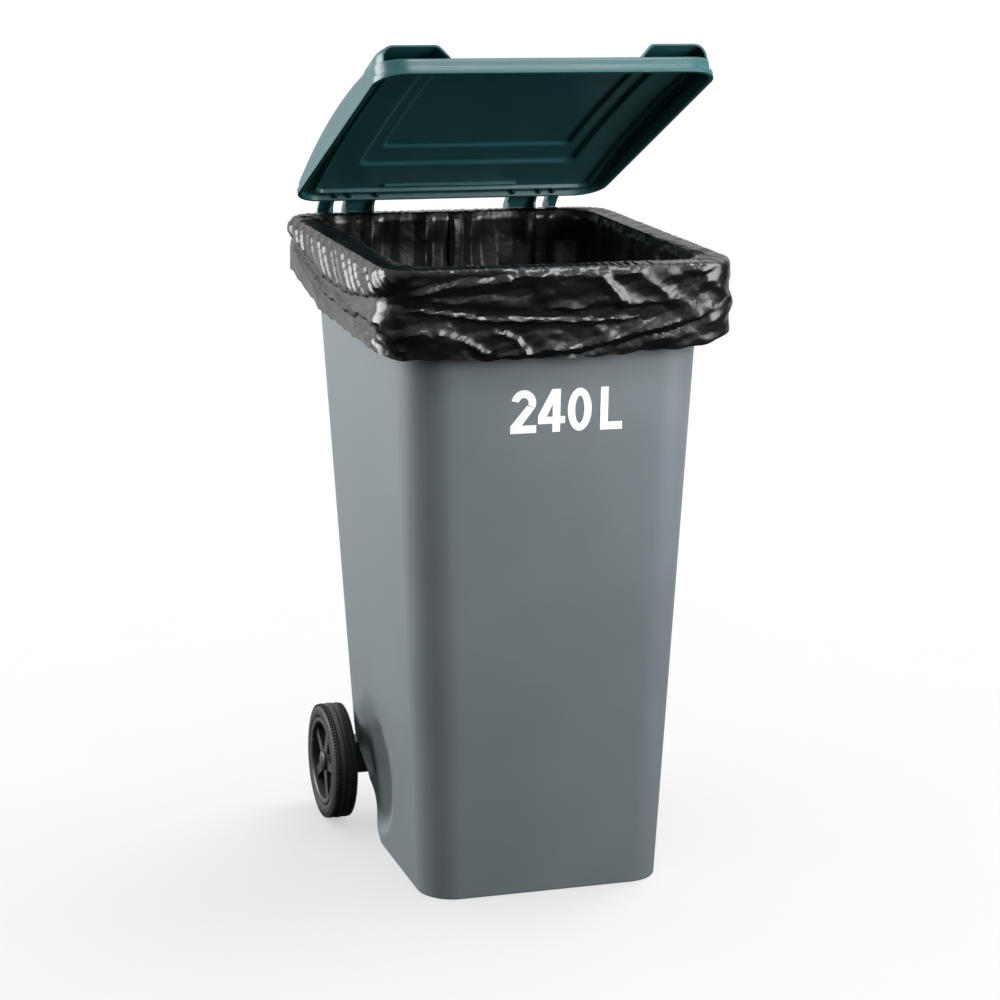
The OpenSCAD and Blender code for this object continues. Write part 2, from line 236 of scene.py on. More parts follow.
def ranged(tree, value, low, high, to_low=0.0, to_high=1.0):
    """A value mapped from one range to another, and held within it."""
    return node(tree, "ShaderNodeMapRange", {"Value": value, "From Min": low, "From Max": high,
                                             "To Min": to_low, "To Max": to_high}).outputs[0]


def mixed(tree, share, first, second):
    """A colour between two, each a socket or red, green and blue."""
    first, second = ((*colour, 1) if isinstance(colour, tuple) else colour for colour in (first, second))
    return node(tree, "ShaderNodeMix", {"Factor": share, "A": first, "B": second},
                data_type="RGBA").outputs["Result"]


def noise(tree, where, scale, detail, roughness=0.5, distortion=0.0):
    return node(tree, "ShaderNodeTexNoise", {"Vector": where, "Scale": scale, "Detail": detail,
                                             "Roughness": roughness, "Distortion": distortion}).outputs["Fac"]


def bumped(tree, height, distance, strength, **under):
    return node(tree, "ShaderNodeBump", {"Height": height, "Distance": distance, "Strength": strength,
                                         **under}).outputs[0]


def dress(tree, principled, colour, roughness, normal):
    """Links a colour, a roughness and a normal to a material's shader."""
    tree.links.new(colour, principled.inputs["Base Color"])
    tree.links.new(roughness, principled.inputs["Roughness"])
    tree.links.new(normal, principled.inputs["Normal"])


def group(name, inputs, outputs, kind="ShaderNodeTree"):
    """An empty node group with named sockets, its input node and its output node."""
    tree = bpy.data.node_groups.new(name, kind)
    for label, socket_kind, *value in inputs:
        socket = tree.interface.new_socket(name=label, in_out="INPUT", socket_type="NodeSocket" + socket_kind)
        if value:
            socket.default_value = value[0]
    for label, socket_kind in outputs:
        tree.interface.new_socket(name=label, in_out="OUTPUT", socket_type="NodeSocket" + socket_kind)
    return tree, tree.nodes.new("NodeGroupInput"), tree.nodes.new("NodeGroupOutput")


# Moulded plastic: a fine pebble grain, faint clouding in the colour, and paler rubbed patches.
moulded, given, result = group(
    "moulded plastic",
    (("Colour", "Color", (0.2, 0.2, 0.2, 1)), ("Roughness", "Float", 0.45), ("Grain size", "Float", 0.0012),
     ("Grain height", "Float", 0.00004), ("Clouding", "Float", 0.05), ("Scuffs", "Float", 0.1)),
    (("Colour", "Color"), ("Roughness", "Float"), ("Normal", "Vector")))
rub_colour = (0.42, 0.43, 0.43)
place = node(moulded, "ShaderNodeTexCoord").outputs["Object"]
pebbles = noise(moulded, place, maths(moulded, "DIVIDE", 1.0, given.outputs["Grain size"]), 2.0, 0.6)
clouds = noise(moulded, place, 4.0, 3.0, 0.55)
stretched = node(moulded, "ShaderNodeMapping", {"Vector": place, "Scale": (9.0, 9.0, 160.0)}).outputs[0]
rub_mask = ranged(moulded, noise(moulded, stretched, 1.0, 5.0, 0.65), 0.56, 0.72)
rub_share = maths(moulded, "MULTIPLY", rub_mask, given.outputs["Scuffs"])
cloud_mask = ranged(moulded, clouds, 0.3, 0.7, -1.0, 1.0)
cloud_share = maths(moulded, "MULTIPLY", cloud_mask, given.outputs["Clouding"])
tinted = node(moulded, "ShaderNodeHueSaturation", {"Color": given.outputs["Colour"],
                                                   "Value": maths(moulded, "ADD", 1.0, cloud_share)})
rough = maths(moulded, "ADD", cloud_share, given.outputs["Roughness"])
bump = bumped(moulded, pebbles, given.outputs["Grain height"], 1.0)
moulded.links.new(mixed(moulded, rub_share, tinted.outputs[0], rub_colour), result.inputs["Colour"])
moulded.links.new(maths(moulded, "ADD", rub_share, rough), result.inputs["Roughness"])
moulded.links.new(bump, result.inputs["Normal"])


def plastic(name, colour, roughness, specular=0.5, **values):
    """A moulded plastic material."""
    material, tree, principled = shader(name)
    grain = node(tree, "ShaderNodeGroup", node_tree=moulded)
    grain.inputs["Colour"].default_value = (*colour, 1)
    grain.inputs["Roughness"].default_value = roughness
    for key, value in values.items():
        grain.inputs[key.replace("_", " ").capitalize()].default_value = value
    principled.inputs["Specular IOR Level"].default_value = specular
    dress(tree, principled, *grain.outputs)
    return material


slate = plastic("slate polyethylene", (0.118, 0.140, 0.152), 0.46, grain_size=0.0011, grain_height=0.00005,
                scuffs=0.02)

# Painted shade: the colour is darkened in the side recesses behind the wheels, where the wheels' shade falls.
recess_shade_colour, recess_shade_most = (0.010, 0.013, 0.014), 0.62
tree = slate.node_tree
principled = tree.nodes["Principled BSDF"]
grain = next(found for found in tree.nodes if found.type == "GROUP")
place = node(tree, "ShaderNodeTexCoord").outputs["Object"]
apart = node(tree, "ShaderNodeVectorMath", {0: place, 1: (0.0, recess_y, recess_z)}, operation="SUBTRACT")
beside = node(tree, "ShaderNodeVectorMath", {0: apart.outputs[0], 1: (0.0, 1.0, 1.0)}, operation="MULTIPLY")
reach = node(tree, "ShaderNodeVectorMath", {0: beside.outputs[0]}, operation="LENGTH")
uneven = maths(tree, "MULTIPLY_ADD", noise(tree, place, 14.0, 3.0), 0.03, reach.outputs["Value"])
# Painted shade: how much darker the colour is, most over each recess and fading out at its edge.
painted_shade = ranged(tree, uneven, recess_r - 0.022, recess_r + 0.006, recess_shade_most, 0.0)
across_x = node(tree, "ShaderNodeSeparateXYZ", {"Vector": place}).outputs["X"]
on_side = ranged(tree, maths(tree, "ABSOLUTE", across_x), 0.16, 0.18)
shaded_colour = mixed(tree, maths(tree, "MULTIPLY", painted_shade, on_side), grain.outputs["Colour"], recess_shade_colour)
tree.links.new(shaded_colour, principled.inputs["Base Color"])

body_stops = [
    ((*walls(0.0, 0.020), 0.0), 0),
    ((*walls(0.0), 0.0), 0.0025),
    ((*walls(notch_low, rear=notch_front), notch_low), 0.004),
    ((*walls(notch_roof, rear=notch_front, rear_r=0.008), notch_roof), 0.004),
    ((*walls(notch_roof), notch_roof), 0.006),
    ((*walls(0.150), 0.150), 0.030),
    ((*walls(wall_top), wall_top), 0),
    ((*walls(wall_top), rim_top - 0.004), 0.004),
    ((*rim(0.004), rim_top - 0.004), 0.003),
    ((*rim(0.004), rim_foot), 0.0018),
    ((*rim(0.0), rim_foot), 0.0018),
    ((*rim(0.0), rim_top), 0.004),
    ((*walls(wall_top, wall_t), rim_top), 0.003),
    ((*walls(wall_top, wall_t), wall_top), 0),
    ((*walls(0.150, wall_t), 0.150), 0.030),
    ((*walls(notch_roof, wall_t), notch_roof + wall_t), 0.006),
    ((*walls(notch_roof, wall_t, rear=notch_front, rear_r=0.008), notch_roof + wall_t), 0.004),
    ((*walls(notch_low, wall_t, rear=notch_front), notch_low + wall_t), 0.004),
    ((*walls(0.0, wall_t), floor_t), 0.009),
    ((*walls(0.0, 0.024), floor_t), 0),
]
body_rings = spread(soften(body_stops), lambda a, b: 0.0045 if max(a[5], b[5]) < 0.26 else 0.03)
body_verts, body_faces = loft(body_rings, 30, 104, 14)
recess_edge = 0.030


def recessed(verts):
    """Points of a wall pushed in where the side recesses are."""
    from_centre = np.hypot(verts[:, 1] - recess_y, verts[:, 2] - recess_z)
    towards_wheel = smoothstep(-recess_r, recess_r, verts[:, 1] - recess_y)
    dish = smoothstep(0, recess_edge, recess_r - from_centre) * recess_depth * (0.35 + 0.65 * towards_wheel)
    moved = verts.copy()
    moved[:, 0] -= np.sign(verts[:, 0]) * dish * (np.abs(verts[:, 0]) > 0.12)
    return moved


body_verts = recessed(body_verts)
body = piece("wheelie_bin_body", body_verts, body_faces, slate, 30)

# Handle: a bar across the back, in line with the hinge, between two brackets, and an outer
# bracket beyond each lid arm. All of it is part of the body's moulding.
hinge_y, hinge_z = 0.430, 1.000
bar_r, bar_half = 0.0125, 0.110
bracket_places = ((-0.194, -0.178), (-0.120, -0.104), (0.104, 0.120), (0.178, 0.194))


def side_profile(points, x0, x1):
    """Vertices and faces of a side-view outline pulled from x0 to x1."""
    count = len(points)
    verts = [(x, y, z) for x in (x0, x1) for y, z in points]
    faces = [[i, (i + 1) % count, count + (i + 1) % count, count + i] for i in range(count)]
    faces.append(list(range(count))[::-1])
    faces.append(list(range(count, 2 * count)))
    return verts, [face[::-1] for face in faces[:count]] + faces[count:]


def arc(y, z, r, start, end, steps):
    """Points (y, z) on an arc, in degrees from +Y towards +Z."""
    angles = np.radians(np.linspace(start, end, steps))
    return [(y + r * math.cos(a), z + r * math.sin(a)) for a in angles]


def bevelled(obj, width, segments=3, angle=35):
    """Rounds an object's edges for good."""
    bevel = obj.modifiers.new("round", "BEVEL")
    bevel.width = width
    bevel.segments = segments
    bevel.limit_method = "ANGLE"
    bevel.angle_limit = math.radians(angle)
    bake(obj)
    return obj


def bake(obj):
    """Turns an object's modifiers into plain mesh, with its faces outwards."""
    made = bpy.data.meshes.new_from_object(obj.evaluated_get(bpy.context.evaluated_depsgraph_get()))
    obj.modifiers.clear()
    obj.data = made
    outwards(obj)
    return obj


def outwards(obj):
    """Turns each closed shell's faces outwards."""
    form = bmesh.new()
    form.from_mesh(obj.data)
    bmesh.ops.recalc_face_normals(form, faces=form.faces)
    form.to_mesh(obj.data)
    form.free()


def turned(name, profile, material, sides=64, centre=(0.0, 0.0), sharp=35, closed=True):
    """A form turned about a line along X through centre (y, z), from a profile of (x, radius)."""
    angles = np.arange(sides) * 2 * math.pi / sides
    y, z = centre
    verts = [(x, y + r * math.cos(a), z + r * math.sin(a)) for x, r in profile for a in angles]
    count = len(profile)
    faces = []
    for k in range(count if closed else count - 1):
        low, high = k * sides, (k + 1) % count * sides
        faces.extend([low + i, low + (i + 1) % sides, high + (i + 1) % sides, high + i] for i in range(sides))
    if not closed:
        faces.append(list(range(sides)))
        faces.append(list(range((count - 1) * sides, count * sides)))
    made = piece(name, verts, faces, material, sharp)
    outwards(made)
    made.data.set_sharp_from_angle(angle=math.radians(sharp))
    return made


bracket_outline = ([(rim_rear - 0.003, hinge_z + 0.016), (rim_rear - 0.003, hinge_z - 0.020)]
                   + [(hinge_y - 0.006, hinge_z - 0.0118)] + arc(hinge_y, hinge_z, bar_r, -100, 90, 14)
                   + [(rim_rear + 0.012, hinge_z + 0.0155)])
brackets = []
for x0, x1 in bracket_places:
    verts, faces = side_profile(bracket_outline, x0, x1)
    brackets.append(bevelled(piece("bracket", verts, faces, slate), 0.0018))
bar = turned("bar", [(-bar_half, bar_r), (bar_half, bar_r)], slate, 40, (hinge_y, hinge_z), closed=False)

# Comb ribs: short ribs that tie the skirt to the wall, six under each side of the rim and six in
# front. The comb of a lifting device reaches up between them. They are part of the moulding.
comb_ribs = 6
comb_rib_t = 0.003
comb_low, comb_high = rim_foot + 0.006, rim_top - 0.003
rib_overlap = 0.003


def socket_of(modifier, label):
    """The key of a Geometry Nodes modifier's input."""
    for item in modifier.node_group.interface.items_tree:
        if item.item_type == "SOCKET" and item.in_out == "INPUT" and item.name == label:
            return item.identifier
    raise KeyError(label)


def grown(name, tree, copies, material, values):
    """A plain mesh of a Geometry Nodes tree's copies, made real, painted and baked."""
    given = next(found for found in tree.nodes if found.type == "GROUP_INPUT")
    result = next(found for found in tree.nodes if found.type == "GROUP_OUTPUT")
    real = node(tree, "GeometryNodeRealizeInstances", {0: copies.outputs[0]})
    painted = node(tree, "GeometryNodeSetMaterial", {"Geometry": real.outputs[0],
                                                     "Material": given.outputs["Material"]})
    tree.links.new(painted.outputs[0], result.inputs[0])
    host = piece(name, [(0, 0, 0)], [], material)
    modifier = host.modifiers.new("copies", "NODES")
    modifier.node_group = tree
    modifier[socket_of(modifier, "Material")] = material
    for label, value in values.items():
        modifier[socket_of(modifier, label)] = value
    return bake(host)


def rib_row(name, count, first, pitch, size, material):
    """A mesh of ribs of one size in a straight row, made with Geometry Nodes."""
    tree, given, _ = group(
        name, (("Count", "Int"), ("First", "Vector"), ("Pitch", "Vector"), ("Size", "Vector"),
               ("Material", "Material")), (("Geometry", "Geometry"),), "GeometryNodeTree")
    spots = node(tree, "GeometryNodeMeshLine", {"Count": given.outputs["Count"],
                                                "Start Location": given.outputs["First"],
                                                "Offset": given.outputs["Pitch"]})
    rib = node(tree, "GeometryNodeMeshCube", {"Size": given.outputs["Size"]})
    copies = node(tree, "GeometryNodeInstanceOnPoints", {"Points": spots.outputs[0],
                                                         "Instance": rib.outputs["Mesh"]})
    return grown(name, tree, copies, material, {"Count": count, "First": first, "Pitch": pitch, "Size": size})


comb_middle, comb_h = (comb_low + comb_high) / 2, comb_high - comb_low
side_pitch = (rim_rear + rim_front - 2 * rim_r) / (comb_ribs + 1)
front_pitch = 2 * (rim_half - rim_r) / (comb_ribs + 1)
side_reach = rim_half - top_half
front_reach = rim_front - top_front
ribs = [rib_row("comb ribs", comb_ribs, (side * (top_half - rib_overlap + side_reach / 2),
                                         rim_r - rim_front + side_pitch, comb_middle),
                (0.0, side_pitch, 0.0), (side_reach, comb_rib_t, comb_h), slate) for side in (-1, 1)]
ribs.append(rib_row("comb ribs", comb_ribs, (rim_r - rim_half + front_pitch,
                                             rib_overlap - top_front - front_reach / 2, comb_middle),
                    (front_pitch, 0.0, 0.0), (comb_rib_t, front_reach, comb_h), slate))

body = join(body, bar, *brackets, *ribs)
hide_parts("tub")
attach(body, "body")


# Lid: one teal polyethylene moulding, a shallow dome with a stepped lip round it, a raised middle
# panel above, and nested panels and a stiffening bar below. It is built shut, and then turned to
# its open angle.
foot_z = 1.034
lid_half, lid_front, lid_rear, lid_r = 0.281, -0.228, 0.388, 0.050
lid_skew = 0.007
crown, crown_y, crown_fall = 0.050, 0.045, 0.325
lip_out, lip_high = 0.004, 0.010
plate_t = 0.0035
rest_open = math.radians(26)
height_share = 0.045


def dome(y):
    """Height of the lid's plate above the foot of its skirt."""
    return crown - crown_fall * (y - crown_y) ** 2


def lid_ring(inset, base, risen):
    """A ring of the lid's form: its height is above the foot, or the dome (risen 1) or underside (-1)."""
    corner = max(lid_r - inset, 0.004)
    return (lid_half - inset, lid_front + inset, lid_rear - inset, corner, corner, base, risen * height_share)


def underside(y):
    """Height of the plate's lower face above the foot; it is flatter than the dome."""
    front, rear = dome(lid_front), dome(lid_rear)
    level = front + (rear - front) * (y - lid_front) / (lid_rear - lid_front)
    return level + 0.4 * (dome(y) - level)


def lid_height(ring, xy):
    """Heights of a ring's points; a ring with a negative share lies on the underside."""
    share = ring[6] / height_share
    return foot_z + ring[5] + (share * dome(xy[:, 1]) if share >= 0 else -share * underside(xy[:, 1]))


def opened(verts):
    """Turns closed-lid points to the angle at which the lid stands open."""
    verts = np.asarray(verts, float)
    ahead = hinge_y - verts[:, 1]
    above = verts[:, 2] - hinge_z
    opened_y = hinge_y - ahead * math.cos(rest_open) + above * math.sin(rest_open)
    opened_z = hinge_z + ahead * math.sin(rest_open) + above * math.cos(rest_open)
    return np.column_stack((verts[:, 0], opened_y, opened_z))


teal = plastic("teal polyethylene", (0.017, 0.080, 0.085), 0.33, 0.38, grain_size=0.0011,
               grain_height=0.00003, scuffs=0.04)
panel_rear, panel_step = 0.260, 0.006
inner_rear = 0.197
lid_stops = [
    ((0.010, 0.000, 0.050, 0.004, 0.004, 0.011 - plate_t, -height_share), 0),
    ((0.163, -0.163, inner_rear - 0.004, 0.014, 0.014, 0.011 - plate_t, -height_share), 0.003),
    ((0.166, -0.165, inner_rear, 0.014, 0.014, panel_step - plate_t, -height_share), 0.003),
    ((0.187, -0.168, panel_rear - 0.005, 0.016, 0.016, panel_step - plate_t, -height_share), 0.003),
    ((0.193, -0.170, panel_rear, 0.018, 0.018, -plate_t, -height_share), 0.003),
    (lid_ring(0.034, -plate_t, -1), 0.002),
    (lid_ring(0.033, -0.0105, -1), 0.001),
    (lid_ring(0.0305, -0.0105, -1), 0.001),
    (lid_ring(0.030, -plate_t, -1), 0.002),
    (lid_ring(0.0085, -plate_t, -1), 0.006),
    (lid_ring(0.0070, 0.0, 0), 0.0008),
    (lid_ring(0.0, 0.0, 0), 0.0010),
    (lid_ring(0.0, lip_high, 0), 0.0012),
    (lid_ring(lip_out, lip_high + 0.0005, 0), 0.0012),
    (lid_ring(lip_out, 0.0, 1), 0.007),
    (lid_ring(0.066, 0.0, 1), 0.003),
    (lid_ring(0.071, 0.005, 1), 0.003),
    (lid_ring(0.268, 0.005, 1), 0),
]
lid_rings = spread(soften(lid_stops), lambda a, b: 0.012)
lid_verts, lid_faces = loft(lid_rings, 70, 70, 14, lid_height)
lid_verts[:, 0] += lid_skew
lid = piece("wheelie_bin_lid", opened(lid_verts), lid_faces, teal, 28)

# Grip scoops: an arched pocket over each front corner of the lid, open to the front for fingers.
scoop_open_y, scoop_end_y = -0.205, -0.070
scoop_rise, scoop_wall = 0.0245, 0.0026
scoop_rows, scoop_columns = 19, 41
scoop_inner_x, scoop_fillet, scoop_round = -0.164, 0.030, 0.022
corner_x, corner_y, corner_r = lid_half - lid_r, lid_front + lid_r, lid_r - lip_out


def scoop_edge(y):
    """The X of the left skirt wall at a place along the lid, round the plan corner."""
    return -(corner_x + math.sqrt(corner_r ** 2 - max(0.0, corner_y - y) ** 2))


def scoop_grid(wall):
    """Points of a scoop's outer face, or of its inner face where wall is its thickness."""
    rows = []
    for v in np.linspace(0, 1, scoop_rows):
        y = scoop_open_y + (scoop_end_y - scoop_open_y) * v
        rise = max((scoop_rise * (1 - v) ** 1.3 + 0.0012 * (1 - v)) - wall, -0.003)
        left = scoop_edge(y) + wall
        right = scoop_inner_x + scoop_fillet * 0.5 - wall
        row = []
        for s in np.linspace(0, 1, scoop_columns):
            x = left + (right - left) * (s ** 1.15)
            near_wall = min(1.0, (x - left) / scoop_round)
            shoulder = (1 - (1 - near_wall) ** 2.4) ** (1 / 2.4)
            runout = 1 - smoothstep(right - scoop_fillet, right, x)
            crest = rise * shoulder * runout
            base = -0.010 * (1 - near_wall) ** 6 - 0.002
            row.append((x, y, foot_z + dome(y) + max(crest, 0) + (base if crest < 0.004 else base * 0.2)))
        rows.append(row)
    return np.array(rows)


def scoop(side):
    """The left (-1) or right (1) scoop, as a closed shell."""
    outer = scoop_grid(0.0)
    inner = scoop_grid(scoop_wall)
    inner[0, :, 1] += 0.0006
    rows, columns = scoop_rows, scoop_columns
    verts = np.concatenate((outer.reshape(-1, 3), inner.reshape(-1, 3)))
    verts[:, 0] = lid_skew - side * verts[:, 0]
    inside = rows * columns
    faces = []
    for i in range(rows - 1):
        for j in range(columns - 1):
            a = i * columns + j
            faces.append((a, a + 1, a + columns + 1, a + columns))
            faces.append((inside + a, inside + a + columns, inside + a + columns + 1, inside + a + 1))
    for j in range(columns - 1):
        faces.append((j, inside + j, inside + j + 1, j + 1))
        last = (rows - 1) * columns + j
        faces.append((last, last + 1, inside + last + 1, inside + last))
    for i in range(rows - 1):
        first = i * columns
        faces.append((first, first + columns, inside + first + columns, inside + first))
        last = first + columns - 1
        faces.append((last, inside + last, inside + last + columns, last + columns))
    made = piece("scoop", opened(verts), faces, teal, 40)
    outwards(made)
    return made


# Hinge arms: two hollow arms and two outer legs reach from the lid's rear edge down to the hinge
# line. Each has upright walls and a back plate that bends round the knuckle.
knuckle_r, arm_t, arm_edge = 0.015, 0.0035, 0.0009
arm_top = foot_z + dome(0.384)
arm_start, arm_low = 0.3700, foot_z + 0.003
arm_walls = ((0.1225, 0.1265), (0.1715, 0.1755), (0.1965, 0.2005))
arm_backs = ((0.123, 0.175), (0.197, 0.2195))


def wall_outline(low, high):
    """Side view of an arm's wall, from the lid's rear edge round the knuckle."""
    return ([(arm_start, low), (arm_start, high)]
            + [(0.392, high + 0.001), (0.415, high - 0.0035), (0.432, high - 0.012)]
            + arc(hinge_y, hinge_z, knuckle_r, 50, -150, 26)
            + [(hinge_y - knuckle_r * 0.95, hinge_z + 0.010), (0.408, low - 0.006), (0.398, low)])[::-1]


def back_outline(high):
    """Side view of an arm's back plate, out along its top and back below."""
    return ([(arm_start, high - 0.0045), (arm_start, high - 0.001)]
            + [(0.392, high), (0.415, high - 0.0045), (0.432, high - 0.013)]
            + arc(hinge_y, hinge_z, knuckle_r, 50, -60, 16)
            + arc(hinge_y, hinge_z, knuckle_r - arm_t, -60, 50, 16)
            + [(0.430, high - 0.0165), (0.413, high - 0.008), (0.392, high - 0.0035)])[::-1]


arms = []
for side in (-1, 1):
    for shape, places in ((wall_outline(arm_low, arm_top - 0.001), arm_walls),
                          (back_outline(arm_top), arm_backs)):
        for x0, x1 in places:
            verts, faces = side_profile(shape, *sorted((side * x0, side * x1)))
            arms.append(bevelled(piece("arm", opened(verts), faces, teal), arm_edge, 2))

# A stiffening bar across the underside, near the hinge, that stops short at the arms.
stiff_y, stiff_t, stiff_h, stiff_half = 0.338, 0.003, 0.0075, 0.120
stiff_top = foot_z + underside(stiff_y) - 0.001
box_faces = [(0, 1, 2, 3), (7, 6, 5, 4), (0, 4, 5, 1), (1, 5, 6, 2), (2, 6, 7, 3), (3, 7, 4, 0)]
section = ((stiff_y, stiff_top), (stiff_y + stiff_t, stiff_top), (stiff_y + stiff_t, stiff_top - stiff_h),
           (stiff_y, stiff_top - stiff_h))
stiffener = piece("stiffener", opened([(x, y, z) for x in (-stiff_half, stiff_half) for y, z in section]),
                  box_faces, teal)
outwards(stiffener)
bevelled(stiffener, arm_edge, 2)

lid = join(lid, scoop(-1), scoop(1), *arms, stiffener)
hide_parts("lid")
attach(lid, "lid")


# Bag: a thin black polythene film that lines the body and is folded out over the rim in a cuff.
# The film is far larger than the rim, so it lies in sharp creases that run to where it is pulled.
film_top, cuff_start = 1.0312, 0.006
film_inner = 0.0065
cuff_foot = 0.892
bag_floor = 0.165
cuff_rows = 46


def rim_ring(outset, z):
    """A ring of the film round the rim; it stays close at the back, where the hinge is."""
    return (rim_half + outset, -rim_front - outset, rim_rear + min(outset, 0.0022), rim_r + outset,
            rim_r + outset, z)


film_rings = [(*walls(bag_floor + 0.004, 0.10), bag_floor)]
film_rings += [(*walls(z, film_inner), z) for z in np.linspace(bag_floor, 0.975, 34)]
film_rings += [(*walls(wall_top, film_inner), z) for z in np.linspace(0.980, film_top - 0.003, 11)]
film_rings += [(*walls(wall_top, film_inner - 0.0025), film_top - 0.0006)]
film_rings += [(*rim(inset), film_top) for inset in (0.026, 0.019, 0.012, 0.006)]
film_rings += [(*rim(0.0005), film_top - 0.0005), rim_ring(0.0020, film_top - 0.003)]
film_rings += [rim_ring(0.0030 + 0.001 * t, film_top - cuff_start - (film_top - cuff_start - cuff_foot) * t)
               for t in np.linspace(0, 1, cuff_rows)]
across, along, corner = 200, 210, 30
film_layers = []
for ring in film_rings:
    xy = outline(*ring[:5], across, along, corner)
    film_layers.append(np.column_stack((xy, np.full(len(xy), ring[5]))))
film = np.array(film_layers)
layer_count, point_count = film.shape[:2]

# How far round the rim each column of the film is, in metres from the front's middle.
rim_layer = layer_count - 20
lap = film[rim_layer, :, :2]
steps = np.linalg.norm(np.roll(lap, -1, 0) - lap, axis=1)
perimeter = steps.sum()
round_rim = np.concatenate(([0], np.cumsum(steps)[:-1]))
front_middle = round_rim[np.argmin(np.abs(lap[:, 0]) + (lap[:, 1] > 0) * perimeter)]
round_rim = (round_rim - front_middle + perimeter / 2) % perimeter - perimeter / 2
s_grid = np.broadcast_to(round_rim, (layer_count, point_count))
z_grid = film[:, :, 2]
outside = np.arange(layer_count)[:, None] >= layer_count - cuff_rows - 2
far_away = 9.0


def folds(value):
    """A triangle wave from -1 to 1: flat facets that meet in sharp creases."""
    return 4 * np.abs(value - np.floor(value + 0.5)) - 1


def wander(s, z, seed, size):
    """A smooth random field over the film, from -1 to 1."""
    draws = np.random.default_rng(seed)
    total = np.zeros_like(s)
    for k in range(5):
        angle, phase = draws.uniform(0, math.tau, 2)
        wave = math.tau / size * draws.uniform(0.6, 1.6)
        total = total + np.sin((s * math.cos(angle) + z * math.sin(angle)) * wave + phase)
    return total / 5


def near_line(points):
    """Each film point's distance to a line of (s, z) points."""
    nearest = np.full_like(s_grid, far_away)
    for (s0, z0), (s1, z1) in zip(points, points[1:]):
        run, rise = s1 - s0, z1 - z0
        along_it = np.clip(((s_grid - s0) * run + (z_grid - z0) * rise) / (run * run + rise * rise), 0, 1)
        nearest = np.minimum(nearest, np.hypot(s_grid - s0 - run * along_it, z_grid - z0 - rise * along_it))
    return nearest


s_warped = s_grid + 0.010 * wander(s_grid, z_grid, 3, 0.16) + 0.0012 * wander(s_grid, z_grid, 4, 0.05)
z_warped = z_grid + 0.008 * wander(s_grid, z_grid, 5, 0.14) + 0.0012 * wander(s_grid, z_grid, 6, 0.05)

# Creases of the cuff as (s, z) lines, each with how far it stands out or in and half its width.
groove = ((-0.930, 0.985), (-0.840, 0.975), (-0.742, 0.960), (-0.633, 0.949), (-0.495, 0.949),
          (-0.365, 0.966), (-0.290, 0.984), (-0.262, 0.988))
creases = (
    (groove, -0.0085, 0.0085),
    (((-0.824, 0.955), (-0.705, 0.944), (-0.577, 0.935), (-0.468, 0.935), (-0.364, 0.944), (-0.300, 0.943),
      (-0.262, 0.905)), 0.0045, 0.010),
    (((-0.780, 0.940), (-0.640, 0.922), (-0.500, 0.921), (-0.380, 0.926), (-0.300, 0.922), (-0.268, 0.899)),
     -0.0040, 0.008),
    (((-0.560, 0.945), (-0.430, 0.918), (-0.330, 0.905)), 0.0025, 0.009),
    (((-0.470, 0.944), (-0.380, 0.925), (-0.290, 0.903)), -0.0030, 0.007),
    (((-0.256, 0.979), (-0.146, 0.965), (-0.035, 0.959), (0.078, 0.957), (0.154, 0.962)), -0.0065, 0.010),
    (((-0.245, 0.970), (-0.128, 0.953), (0.021, 0.948), (0.116, 0.948)), 0.0040, 0.008),
    (((-0.245, 0.965), (-0.113, 0.940), (0.041, 0.938), (0.154, 0.951)), -0.0035, 0.010),
    (((-0.274, 0.987), (-0.202, 1.004), (-0.096, 1.013)), 0.0040, 0.010),
    (((-0.270, 0.990), (-0.180, 0.990), (-0.060, 0.996)), -0.0035, 0.010),
    (((-0.270, 0.994), (-0.173, 1.019), (-0.092, 1.023)), -0.0030, 0.008),
    (((-0.108, 0.896), (0.023, 0.908), (0.136, 0.928), (0.220, 0.943)), 0.0040, 0.009),
    (((-0.033, 0.891), (0.148, 0.918), (0.232, 0.937)), -0.0035, 0.007),
    (((-0.096, 1.013), (-0.067, 1.030), (-0.037, 1.032)), 0.0030, 0.010),
    (((0.049, 1.023), (0.077, 0.993), (0.089, 0.978)), 0.0042, 0.012),
    (((0.098, 1.028), (0.133, 1.006), (0.177, 0.975)), 0.0030, 0.012),
    (((0.177, 0.975), (0.248, 1.020)), -0.0032, 0.014),
    (((-0.066, 1.019), (0.038, 1.017), (0.098, 1.023)), 0.0022, 0.009),
    (((-0.028, 0.968), (0.028, 0.969), (0.062, 0.976), (0.119, 0.970), (0.177, 0.973), (0.230, 1.003)),
     0.0036, 0.011),
    (((-0.208, 0.935), (-0.164, 0.919), (-0.130, 0.902)), 0.0040, 0.009),
    (((-0.116, 0.935), (-0.083, 0.923), (-0.067, 0.903)), 0.0036, 0.009),
    (((0.125, 1.024), (0.171, 1.025), (0.220, 1.029)), -0.0022, 0.006),
    (((-0.270, 0.927), (-0.234, 0.936), (-0.171, 0.912)), 0.0036, 0.012),
    (((0.255, 0.985), (0.300, 0.950), (0.350, 0.930)), 0.0035, 0.010),
    (((0.250, 0.960), (0.330, 0.985), (0.450, 0.975), (0.600, 0.965)), -0.0045, 0.010))
relief_out = np.zeros_like(s_grid)
for line, depth, width in creases:
    away = near_line(line)
    tent = np.clip(1 - away / width, 0, 1)
    skirts = np.clip(1 - away / (width * 2.6), 0, 1) ** 2
    relief_out += depth * (0.62 * tent + 0.38 * skirts)

